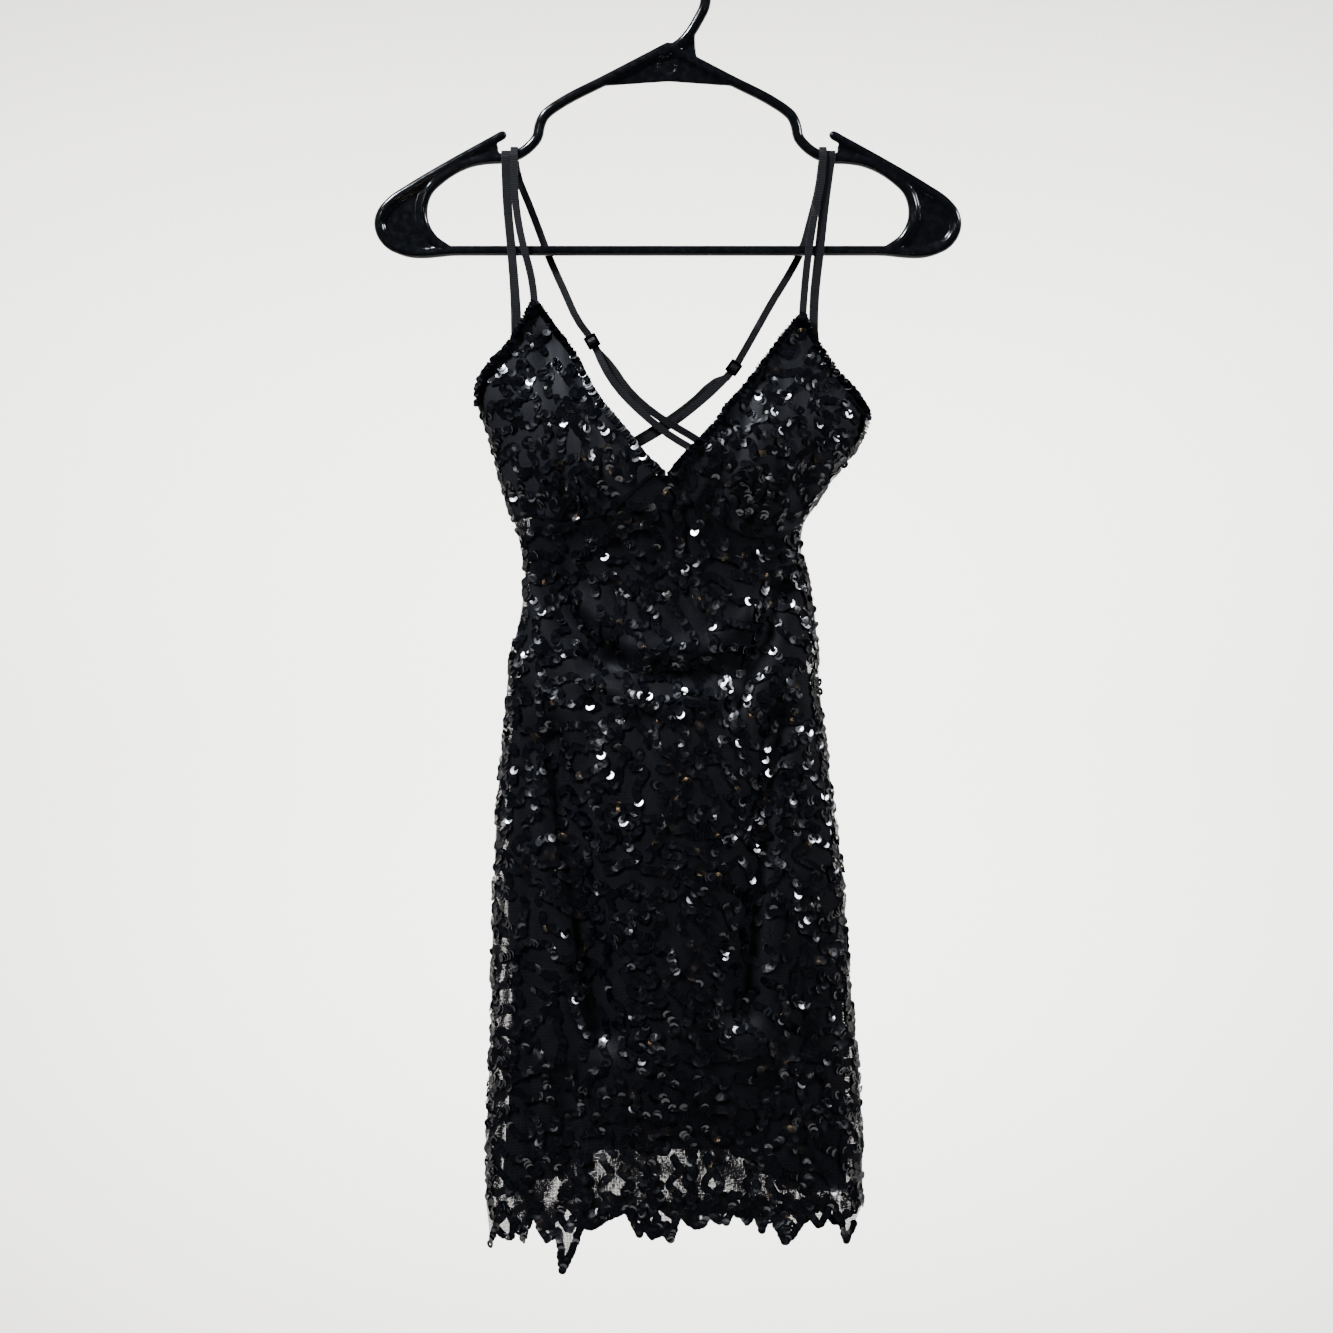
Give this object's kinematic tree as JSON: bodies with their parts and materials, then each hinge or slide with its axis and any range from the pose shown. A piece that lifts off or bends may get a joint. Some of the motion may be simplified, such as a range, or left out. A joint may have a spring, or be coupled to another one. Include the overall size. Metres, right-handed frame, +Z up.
{
  "type": "slip dress on a clothes hanger",
  "caption": "Short black slip dress of sequinned net with a V neck, soft cups, thin crossed back straps and a ragged hem, hanging on a black plastic clothes hanger.",
  "frame": {"origin": "the inner top of the hanger's hook, where it rests on a rail", "axes": "+Z up, -Y towards the front of the dress, +X to the viewer's right"},
  "size_m": [0.4186, 0.0737, 0.939],
  "materials": {
    "hanger_plastic": "gloss",
    "sequin_net": "net with glossy sequins",
    "lining": "matt",
    "sequin_string": "glossy sequins",
    "strap": "satin",
    "slider": "gloss",
    "ribbon": "satin"
  },
  "bodies": {
    "root": {"hanger": "hanger_plastic", "left_cup": "sequin_net", "right_cup": "sequin_net", "front_panel": "sequin_net", "back_panel": "sequin_net", "front_lining": "lining", "back_lining": "lining", "left_neck_trim": "sequin_string", "right_neck_trim": "sequin_string", "left_armhole_trim": "sequin_string", "right_armhole_trim": "sequin_string", "left_strap": "strap", "right_strap": "strap", "left_slider": "slider", "right_slider": "slider", "left_hanger_loop": "ribbon", "right_hanger_loop": "ribbon"}
  },
  "joints": []
}
